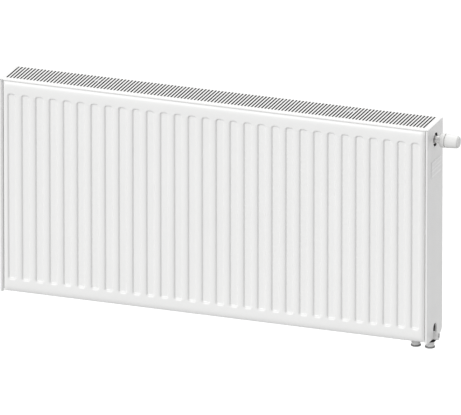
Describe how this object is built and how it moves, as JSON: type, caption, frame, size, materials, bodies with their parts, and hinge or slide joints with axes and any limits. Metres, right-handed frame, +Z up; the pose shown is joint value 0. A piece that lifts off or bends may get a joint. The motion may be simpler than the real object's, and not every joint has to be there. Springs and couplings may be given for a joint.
{
  "type": "panel radiator",
  "caption": "Double-panel steel convector radiator with slotted top grille, side panels, built-in valve with hand cap, bottom pipe sockets and rear hanging lugs.",
  "frame": {"origin": "mid-length of the panels, on the wall-side plane, level with the panels' bottom seam", "axes": "+X along the radiator to the valve end, -Y towards the room, +Y towards the wall, +Z up"},
  "size_m": [1.0808, 0.1, 0.527],
  "materials": {
    "white_steel": "satin white powder coat",
    "white_plastic": "fine satin",
    "label": "blank foil label",
    "nickel": "satin nickel plate",
    "spring_steel": "bright",
    "black_rubber": "matte",
    "grey_rubber": "matte"
  },
  "bodies": {
    "radiator": {"front_outer_sheet": "white_steel", "front_inner_sheet": "white_steel", "rear_inner_sheet": "white_steel", "rear_outer_sheet": "white_steel", "front_convector": "white_steel", "rear_convector": "white_steel", "left_side_panel": "white_steel", "right_side_panel": "white_steel", "blank_label": "label", "grille_clip_front_left": "spring_steel", "grille_clip_front_right": "spring_steel", "grille_clip_rear_left": "spring_steel", "grille_clip_rear_right": "spring_steel", "left_lower_cross_tube": "white_steel", "left_upper_cross_tube": "white_steel", "return_cross_tube": "white_steel", "return_outlet": "white_steel", "return_washer": "black_rubber", "return_socket": "white_steel", "return_end_seal": "grey_rubber", "supply_washer": "black_rubber", "supply_socket": "white_steel", "supply_end_seal": "grey_rubber", "riser_base": "nickel", "riser_pipe": "white_steel", "connection_bracket": "white_steel", "valve_housing": "white_steel", "valve_outlet_front": "white_steel", "valve_outlet_rear": "white_steel", "valve_insert": "nickel", "valve_spring": "spring_steel", "lock_collar": "white_plastic", "vent_boss": "white_steel", "vent_plug": "nickel", "vent_plug_seal": "black_rubber", "blind_boss": "white_steel", "blind_plug": "nickel", "blind_plug_seal": "black_rubber", "hanging_lug_lower_left": "white_steel", "hanging_lug_lower_right": "white_steel", "hanging_lug_upper_left": "white_steel", "hanging_lug_upper_right": "white_steel"},
    "spindle": {"valve_pin": "nickel", "valve_disc": "black_rubber"},
    "cap": {"hand_cap": "white_plastic", "cap_end_disc": "white_plastic"},
    "vent": {"vent_screw": "nickel"},
    "grille": {"top_grille": "white_steel"}
  },
  "joints": [
    {"name": "cap_turn", "type": "hinge", "parent": "spindle", "child": "cap", "pos_m": [0.548, -0.048, 0.4635], "axis": [-1, 0, 0], "range_deg": [0, 480]},
    {"name": "pin_slide", "type": "slide", "parent": "radiator", "child": "spindle", "axis": [-1, 0, 0], "range_m": [0, 0.002], "deforming": ["valve_spring"]},
    {"name": "vent_turn", "type": "hinge", "parent": "radiator", "child": "vent", "pos_m": [-0.51, -0.048, 0.4635], "axis": [-1, 0, 0], "range_deg": [0, 540]},
    {"name": "grille_lift", "type": "slide", "parent": "radiator", "child": "grille", "axis": [0, 0, 1], "range_m": [0, 0.05]}
  ],
  "couplings": [
    {"joint": "cap_turn", "follows": "pin_slide", "rad_per_m": 4188.8}
  ]
}
